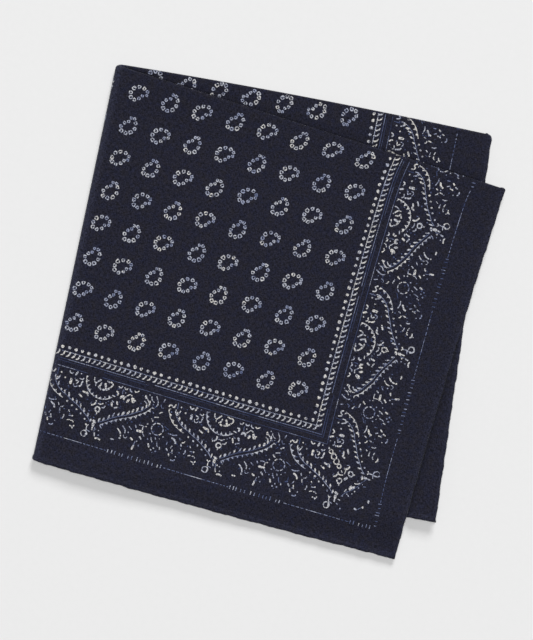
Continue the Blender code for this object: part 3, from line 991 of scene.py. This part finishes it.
def draw_arch(ink, tip):
    """One whole arch, its tip at this place along the side."""
    draw_half(ink, tip)
    rim = np.stack([tip + RIM_AT[0] + RIM_RADIUS * np.cos(RIM_TURN),
                    RIM_AT[1] + RIM_RADIUS * np.sin(RIM_TURN)], -1)
    scallop(ink, rim, side=-1, bite=2.15, thin=0.26, tall=1.45, tint=0.05)
    marks(ink, ROSETTE_CUP + RIGHT_BLOSSOMS + RIGHT_SPRIGS, tip)
    stem = from_tip(RIGHT_STEM, tip)
    ink.stroke(stem, width=0.24, tint=0.60)
    garland(ink, stem, side=1, spacing=2.2, length=1.9, width=0.75, tint=0.08)
    toothed = from_tip(TOOTHED, tip)
    scallop(ink, toothed[:TOOTH_CHANGE + 1], side=-1, bite=2.1, thin=0.20, tall=1.2, tint=0.10)
    scallop(ink, toothed[TOOTH_CHANGE:], side=-1, bite=2.1, thin=0.04, tall=1.1, tint=0.28)


print("places on the toothed band:", len(TOOTHED), "and its stem:", len(RIGHT_STEM))

# %% [markdown]
# ## The corner
#
# Where two sides meet, one arch turns the corner.  Both its halves are left halves: the
# second is mirrored in the diagonal, where across becomes out and out becomes across.  A
# pod lies on the diagonal in place of the rosette, and a small garland crosses the tip.

# %% Corner arch
CORNER_TIP = 17.6        # along each side, from the corner bead
POD = [
    # place on the diagonal, radius, radius of its hole
    (10.5, 1.10, 0.65),
    (12.2, 1.45, 0.95),
    (13.8, 1.45, 0.95),
    (15.4, 1.05, 0.60),
]
CORNER_TWICE = [
    # width, tint, places across and out from the corner bead
    (0.70, 0.10, (17.7, 15.7), (18.7, 15.5), (20.1, 14.8)),
    (0.60, 0.05, (18.5, 15.8), (18.8, 16.9), (18.4, 18.0)),
]
CORNER_ONCE = [
    (1.80, 0.05, (-0.2, -0.2)), (1.00, 0.00, (9.5, 9.3), (9.1, 9.0)),
    (0.60, 0.00, (16.8, 16.8), (17.4, 17.4)),
    (1.40, 0.05, (19.0, 19.9), (20.0, 19.1)),
    (0.30, 0.50, (17.6, 28.2), (19.4, 26.6), (21.4, 25.2), (23.2, 23.4), (25.0, 21.0),
     (27.0, 19.4)),
    (0.60, 0.10, (20.3, 23.8), (20.3, 25.0), (19.6, 26.0)), (0.70, 0.30, (18.9, 25.0)),
    (1.30, 0.00, (22.8, 22.7), (21.8, 24.3)),
    (0.90, 0.00, (21.8, 22.8), (22.8, 22.0), (23.6, 22.7)),
    (0.65, 0.10, (23.8, 20.9), (24.9, 20.4)), (0.80, 0.20, (26.8, 19.9)),
    (0.60, 0.30, (19.9, 27.2)), (0.70, 0.30, (21.5, 26.0)), (0.90, 0.05, (23.5, 24.7)),
    (0.70, 0.30, (24.9, 23.8)), (0.60, 0.20, (25.5, 21.6), (26.2, 22.6)),
    (0.50, 0.45, (20.6, 27.9), (20.4, 28.9)), (0.60, 0.15, (28.6, 18.4), (28.8, 19.4)),
    (0.50, 0.25, (30.3, 18.0), (30.8, 18.8)), (0.90, 0.35, (32.1, 20.2)),
    (1.10, 0.00, (30.4, 26.2), (30.8, 27.0)), (0.30, 0.55, (30.3, 27.6), (29.3, 28.8)),
    (1.20, 0.00, (29.0, 29.5)), (1.10, 0.05, (25.6, 31.4), (26.5, 31.4)),
]


def draw_corner(ink, length):
    """What the corner arch has once, on its diagonal and outside its tip."""
    for place, radius, hole in POD:
        ink.ring(length + place, place, radius, radius - hole, tint=0.0)
    marks(ink, CORNER_ONCE, length)


print("corner:", len(POD), "rings and", 2 * len(CORNER_TWICE) + len(CORNER_ONCE), "marks")

# %% [markdown]
# ## Laying the print on the cloth
#
# The print never sits quite true to the hems.  Here its middle is 6 mm off the cloth's,
# and the cloth was pulled a little out of square when it was folded, so each half carries
# the print at its own slight slant.  A quarter is drawn at a time: the field, then a side,
# then the same side mirrored in the diagonal, and what the corner has once.  An image
# could carry the print too, but films keep its edges sharp from any distance.

# %% Where the print lies
SPECKS = 260             # stray marks in a side's border, where the bleach bled
SPECKS_FROM, SPECKS_OVER = 9.5, 22       # how far out they start, and over how far they lie
SPECKS_PAST = 12         # how far they run on past the corner bead
# how far each side's beads run from the print's middle, and from arch to arch
BEADS = {"right": 115.6, "near": 117.1, "left": 117.0, "far": 117.0}
ARCH_STEPS = {"near": 52.95, "right": 53.5, "left": 54.2}
FAR_BEND = 1.6           # at the far fold the print's edge swings out by this much
FAR_BEND_REACH = 8
PULLS = [
    # middle, across and down, reach, and how far the cloth was pulled there, across and down
    (4, 50, 30, 0.35, -0.45),
    (35, 50, 35, -0.25, 0.0),
    (25, 125, 45, 0.0, -0.45),
    (4, 122, 22, 0.55, 0.0),
    (36, 136, 14, -0.3, 0.0),
    (62, 138, 13, 0.4, -0.15),
    (88, 142, 14, 0.0, -0.2),
    (114, 136, 17, 0.6, -0.35),
    (147, 132, 13, -0.5, 0.2),
    (140, 42, 24, -0.3, -0.35),
]
FILM = 0.09              # the films' thickness, partly sunk in the cloth
FILM_PROUD = 0.055       # the height of their upper side
PRINT_LIES = {
    # half of the cloth: shift, stretch, slant, twist and bow of the print's place,
    # first across the cloth and then down it
    "right": ((6.0, 0.954, -0.079, 0.089, 0.011), (2.0, 0.982, -0.032, 0.040, 0.008)),
    "left": ((5.8, 1.016, 0.003, 0.060, 0.0), (2.5, 0.965, 0.005, -0.040, 0.0)),
}
BLEND_ACROSS, BLEND_DOWN = 30, 80        # over which the left half's place takes over


def print_place(points):
    """From the print's own millimetres to the open cloth's."""
    x, y = points[:, 0], points[:, 1]
    halves = {}
    for half, (across, down) in PRINT_LIES.items():
        halves[half] = np.stack([
            shift + stretch * own + slant * other + twist * x * y / LEAF + bow * other ** 2 / LEAF
            for (shift, stretch, slant, twist, bow), own, other in ((across, x, y), (down, y, x))
        ], -1)
    halves["right"][:, 0] += FAR_BEND * np.exp(-(y / FAR_BEND_REACH) ** 2) * x / LEAF
    for at_x, at_y, reach, across, down in PULLS:
        pulled = np.exp(-((x - at_x) ** 2 + (y - at_y) ** 2) / reach ** 2)
        halves["right"] += pulled[:, None] * (across, down)
    left = (soft_step(-x / BLEND_ACROSS) * soft_step((BLEND_DOWN - y) / BLEND_DOWN))[:, None]
    return halves["right"] * (1 - left) + halves["left"] * left


print("the print's middle on the cloth:", print_place(np.zeros((1, 2)))[0].round(1), "mm")

# %% Printing the quarters
def draw_quarter(name, right, down, seed):
    """All the printed marks of one quarter of the cloth, folded, as one piece."""
    ink = Ink(seed)
    draw_field(ink, right, down)
    side_name = "right" if right > 0 else "left"
    side = BEADS[side_name]
    end = BEADS["near" if down > 0 else "far"]
    ways = (
        ("near", side, lambda p: np.stack([right * p[:, 0], down * (end + p[:, 1])], -1)),
        (side_name, end, lambda p: np.stack([right * (side + p[:, 1]), down * p[:, 0]], -1)),
    )
    for way, length, place in ways:
        ink.place = place
        tips, step = length + CORNER_TIP, ARCH_STEPS[way]
        draw_lines(ink, length, way)
        draw_ticks(ink, length, tips, step, faded=0.0 if way == "near" else 0.2)
        for _ in range(SPECKS):
            x = ink.rng.uniform(0, length + SPECKS_PAST)
            out = SPECKS_FROM + SPECKS_OVER * ink.rng.beta(1.3, 1.6)
            ink.dot(x, out, ink.rng.uniform(0.16, 0.34), ink.rng.uniform(0.6, 0.95),
                    corners=5, rough=0.3)
        draw_arch(ink, tips - step)
        draw_arch(ink, tips - 2 * step)
        draw_half(ink, tips)
        marks(ink, CORNER_TWICE, length)
    draw_corner(ink, end)

    flat = print_place(np.array(ink.points))
    faces = []
    for face in ink.faces:
        x, y = flat[face, 0], flat[face, 1]
        area = np.dot(x, np.roll(y, 1)) - np.dot(y, np.roll(x, 1))
        faces.append(face if area > 0 else face[::-1])
    piece = object_from(name, fold(flat[:, 0], flat[:, 1], THICK / 2 + FILM_PROUD), faces)
    lay_uv(piece, flat)
    tint = piece.data.attributes.new("tint", "FLOAT", "POINT")
    tint.data.foreach_set("value", np.array(ink.tints))
    finish_with(piece, "SOLIDIFY", thickness=FILM * MM, offset=-1.0)
    print(name + ":", triangles(piece), "triangles")
    return piece


prints = [
    draw_quarter("print_upper", right=1, down=1, seed=1),
    draw_quarter("print_second", right=1, down=-1, seed=2),
    draw_quarter("print_third", right=-1, down=-1, seed=3),
    draw_quarter("print_base", right=-1, down=1, seed=4),
]

# %% [markdown]
# ## Tools for materials
#
# Cloth, thread and print are all cotton, so they share one weave: a fine grain of threads
# that run both ways.  Patterns follow the open cloth through the UV, turned back to
# millimetres.  Object coordinates would be simpler, but would cut straight through the
# folds.

# %% Nodes and colours
def linear(hex_colour):
    """An sRGB hex colour as the linear RGBA that a shader wants."""
    parts = [int(hex_colour[i:i + 2], 16) / 255 for i in (1, 3, 5)]
    return [p / 12.92 if p <= 0.04045 else ((p + 0.055) / 1.055) ** 2.4 for p in parts] + [1.0]


def node(tree, kind, inputs=(), **settings):
    """Adds a shader node; inputs are (socket, a value, an output, or a node's first output)."""
    made = tree.nodes.new("ShaderNode" + kind)
    for setting, value in settings.items():
        setattr(made, setting, value)
    for socket, value in dict(inputs).items():
        if isinstance(value, bpy.types.Node):
            value = value.outputs[0]
        if isinstance(value, bpy.types.NodeSocket):
            tree.links.new(value, made.inputs[socket])
        else:
            made.inputs[socket].default_value = value
    return made


def new_material(name):
    material = bpy.data.materials.new(name)
    material.use_nodes = True
    material.node_tree.nodes.clear()
    return material, material.node_tree


print("dark indigo as linear light:", [round(part, 4) for part in linear("#1B1D2E")])

# %% Place, fading and weave
def cloth_millimetres(tree):
    """The place on the open cloth, in millimetres."""
    uv = node(tree, "UVMap", uv_map="cloth")
    return node(tree, "Mapping", {"Vector": uv, "Scale": (CLOTH, CLOTH, CLOTH)})


HEM_HIGHLIGHT = 3.6           # how far in from its edge the painted highlight starts
FOLD_HIGHLIGHT = (0.6, 4.4)   # from the left fold, where the painted highlight is strongest and where it starts


def edge_highlight(tree, place):
    """How much paler the dye is painted, 0 to 1: a painted highlight where the left fold catches
    the light, and less along the hems.
    """
    centred = node(tree, "VectorMath", {0: place, 1: (LEAF, LEAF, 0)}, operation="SUBTRACT")
    away = node(tree, "VectorMath", {0: centred}, operation="ABSOLUTE")
    axes = node(tree, "SeparateXYZ", {"Vector": away})
    across, down = axes.outputs["X"], axes.outputs["Y"]
    furthest = node(tree, "Math", {0: across, 1: down}, operation="MAXIMUM")
    hem = node(tree, "MapRange", {"Value": furthest, "From Min": LEAF - HEM_HIGHLIGHT,
                                  "From Max": LEAF, "To Max": 0.22})
    fold_lit = node(tree, "MapRange", {"Value": across, "From Min": FOLD_HIGHLIGHT[1],
                                     "From Max": FOLD_HIGHLIGHT[0], "To Max": 0.72})
    return node(tree, "Math", {0: hem, 1: fold_lit}, operation="MAXIMUM")


# Uneven spots in the threads, to the millimetre across a thread and along it.  Real
# threads lie nearer to 3.5 to the millimetre, and are drawn coarser so that they show.
ACROSS, ALONG = 2.4, 0.8


def weave(tree, place):
    """The weave's height: uneven threads that run both ways."""
    threads = []
    for stretch in ((ACROSS, ALONG, 1), (ALONG, ACROSS, 1)):
        drawn = node(tree, "Mapping", {"Vector": place, "Scale": stretch})
        threads.append(node(tree, "TexNoise", {"Vector": drawn, "Scale": 1.0, "Detail": 4.0,
                                               "Roughness": 0.75}))
    return node(tree, "Mix", {"Factor": 0.5, "A": threads[0], "B": threads[1]})


def shade_cloth(tree, colour, grain, roughness, bump):
    """The cotton's surface: matt, with the grain as bump and a soft nap."""
    surface = node(tree, "BsdfPrincipled", {
        "Base Color": colour, "Roughness": roughness, "Specular IOR Level": 0.15,
        "Sheen Weight": 0.10, "Sheen Roughness": 0.4,
        "Normal": node(tree, "Bump", {"Height": grain, "Distance": bump * MM, "Strength": 1.0})})
    node(tree, "OutputMaterial", {"Surface": surface})


print("weave spots:", round(1 / ACROSS, 2), "by", round(1 / ALONG, 2), "mm")

# %% [markdown]
# ## Indigo cotton
#
# The cotton was dyed in the piece, in a dark indigo that never takes quite evenly, so its
# colour is mottled by a shade or two.  Along the left fold, and a little along the hems, it
# is painted paler, a painted highlight where those edges catch the light.  The grain
# lightens and darkens the threads as well as raising them, since bump alone hardly shows
# on so dark a cloth.

# %% Indigo cotton
# Piece-dyed cotton: a nearly black blue, matt, with a soft nap that hides any gloss.
# Painted highlight: the paler blue laid along the left fold and the hems, where they catch the
# light.
HIGHLIGHT_COLOUR = "#353749"


def dyed_cotton(name, dark, light):
    """The dyed cloth, mottled between two shades in patches of some 3 mm."""
    material, tree = new_material(name)
    place = cloth_millimetres(tree)
    mottle = node(tree, "TexNoise", {"Vector": place, "Scale": 0.30, "Detail": 6.0,
                                     "Roughness": 0.75})
    even = node(tree, "MapRange", {"Value": mottle, "From Min": 0.35, "From Max": 0.65})
    dyed = node(tree, "Mix", {"Factor": even, "A": linear(dark), "B": linear(light)},
                data_type="RGBA")
    # Painted highlight along the left fold and the hems.
    faded = node(tree, "Mix", {"Factor": edge_highlight(tree, place), "A": dyed.outputs[2],
                               "B": linear(HIGHLIGHT_COLOUR)}, data_type="RGBA")
    grain = weave(tree, place)
    worn = node(tree, "MapRange", {"Value": grain, "From Min": 0.40, "From Max": 0.60,
                                   "To Min": 0.13, "To Max": 1.87})
    colour = node(tree, "VectorMath", {0: faded.outputs[2], 1: worn}, operation="MULTIPLY")
    shade_cloth(tree, colour, grain, roughness=0.92, bump=0.10)
    return material


cotton = dyed_cotton("indigo cotton", "#201F27", "#1B1D2E")
thread = dyed_cotton("indigo cotton thread", "#24242F", "#272838")     # a shade paler
print("nodes in the cotton:", len(cotton.node_tree.nodes))

# %% [markdown]
# ## Bleached print
#
# The print is the same cloth with the dye taken out, so it has the same grain.  Each mark
# carries its tint as an attribute of its mesh, and a ramp turns that to a colour, so that
# one material makes every mark from ecru to blue.

# %% Bleached print
# Discharge-printed cotton: ecru where the bleach took well and blue where it took in
# part, in patches some 20 mm wide, and broken up where dyed threads still show through,
# some 0.6 mm apart.
bleached, tree = new_material("bleached cotton print")
place = cloth_millimetres(tree)
tint = node(tree, "Attribute", attribute_name="tint", attribute_type="GEOMETRY")
patchy = node(tree, "TexNoise", {"Vector": place, "Scale": 0.05, "Detail": 3.0})
drift = node(tree, "MapRange", {"Value": patchy, "From Min": 0.3, "From Max": 0.7,
                                "To Min": -0.05, "To Max": 0.10})
both = node(tree, "Math", {0: tint.outputs["Fac"], 1: drift}, operation="ADD")
ramp = node(tree, "ValToRGB", {"Fac": both})
ramp.color_ramp.elements[0].color = linear("#D8D5CE")
ramp.color_ramp.elements[1].color = linear("#262B45")
for stop, colour in ((0.15, "#C2C4CA"), (0.35, "#9EA4B9"), (0.60, "#6C7696"), (0.82, "#3B476C")):
    ramp.color_ramp.elements.new(stop).color = linear(colour)
threads = node(tree, "TexNoise", {"Vector": place, "Scale": 1.6, "Detail": 2.0,
                                  "Roughness": 0.6})
taken = node(tree, "MapRange", {"Value": threads, "From Min": 0.38, "From Max": 0.56})
mixed = node(tree, "Mix", {"Factor": taken, "A": linear("#363E5A"), "B": ramp},
             data_type="RGBA")
shade_cloth(tree, mixed.outputs[2], weave(tree, place), roughness=0.9, bump=0.08)

for piece, material in ((cloth, cotton), (hem, cotton), (stitches, thread),
                        *((piece, bleached) for piece in prints)):
    piece.data.materials.clear()
    piece.data.materials.append(material)
print("materials:", cotton.name + ",", thread.name + ",", bleached.name)

# %% [markdown]
# ## What stands for what
#
# The pieces ride on the one body there is, and the solids are hidden, so that the pieces
# stand for them.

# %% Pieces on the body
for piece, slot in ((cloth, "cotton"), (hem, "hem"), (stitches, "hem"),
                    *((piece, "print") for piece in prints)):
    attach(piece, "root")
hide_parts(*[name for name in NODES if not name.startswith("hem_")])
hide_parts(*[name for name in NODES if name.startswith("hem_")])
print("pieces:", 3 + len(prints))

# %% [markdown]
# ## Table, light and camera
#
# The cloth lies on a plain pale table.  A large panel hangs straight over it, and a window
# beyond the far side gives the near edges their short soft shadow.  A weak pale surround
# fills it a little.  The camera looks straight down through a long lens, turned 11.8
# degrees.

# %% Table and surround
# Emulsion paint, rolled on: an even off-white without gloss, with a faint grain 2.5 mm wide.
bpy.ops.mesh.primitive_plane_add(size=6.0)
table = bpy.context.object
table.name = "table"
painted, tree = new_material("matt white paint")
coordinates = node(tree, "TexCoord").outputs["Object"]
grain = node(tree, "TexNoise", {"Vector": coordinates, "Scale": 400.0, "Detail": 2.0})
tone = node(tree, "MapRange", {"Value": grain, "To Min": 0.765, "To Max": 0.785})
matt = node(tree, "BsdfPrincipled", {"Base Color": tone, "Roughness": 0.9,
                                     "Specular IOR Level": 0.1})
node(tree, "OutputMaterial", {"Surface": matt})
table.data.materials.append(painted)

world = bpy.data.worlds.new("surround")
bpy.context.scene.world = world
world.use_nodes = True
background = world.node_tree.nodes["Background"]
background.inputs["Color"].default_value = linear("#FFFFFF")
background.inputs["Strength"].default_value = 0.11
print("table:", table.dimensions.x, "m wide, in", painted.name)

# %% Light and camera
AIM = (83.9 - CENTRE[0], -91.6 - CENTRE[1])      # where the camera looks, in mm
ROLL = math.radians(11.79)
VIEW_HIGH = 0.268                # metres of the table from the view's foot to its head
DISTANCE = 2.4                   # metres from the table to the camera
SENSOR = 24.0                    # its height, in mm
LIGHTS = {
    # name: tilt from straight down in degrees, side in metres, power in watts
    "overhead panel": (0, 2.4, 620.0),
    "window": (54, 3.75, 640.0),
}
LIGHT_AWAY = 10.0                # metres from the cloth to either light
LIGHT_TURN = math.radians(-5)    # where the window stands, round from straight behind

for name, (tilt, side, power) in LIGHTS.items():
    bpy.ops.object.light_add(type="AREA")
    light = bpy.context.object
    light.name = name
    light.data.size = side
    light.data.energy = power
    reach = LIGHT_AWAY * math.sin(math.radians(tilt))
    light.location = (AIM[0] * MM - reach * math.sin(LIGHT_TURN),
                      AIM[1] * MM + reach * math.cos(LIGHT_TURN),
                      LIGHT_AWAY * math.cos(math.radians(tilt)))
    light.rotation_euler = (-math.radians(tilt), 0, LIGHT_TURN)

bpy.ops.object.camera_add()
camera = bpy.context.object
camera.location = (AIM[0] * MM, AIM[1] * MM, DISTANCE)
camera.rotation_euler = (0, 0, ROLL)
camera.data.sensor_fit = "VERTICAL"
camera.data.sensor_height = SENSOR
camera.data.lens = SENSOR * DISTANCE / VIEW_HIGH
camera.data.clip_end = 20.0
bpy.context.scene.camera = camera
bpy.context.scene.view_settings.view_transform = "Standard"
print("lights:", ", ".join(LIGHTS) + "; lens:", round(camera.data.lens), "mm")
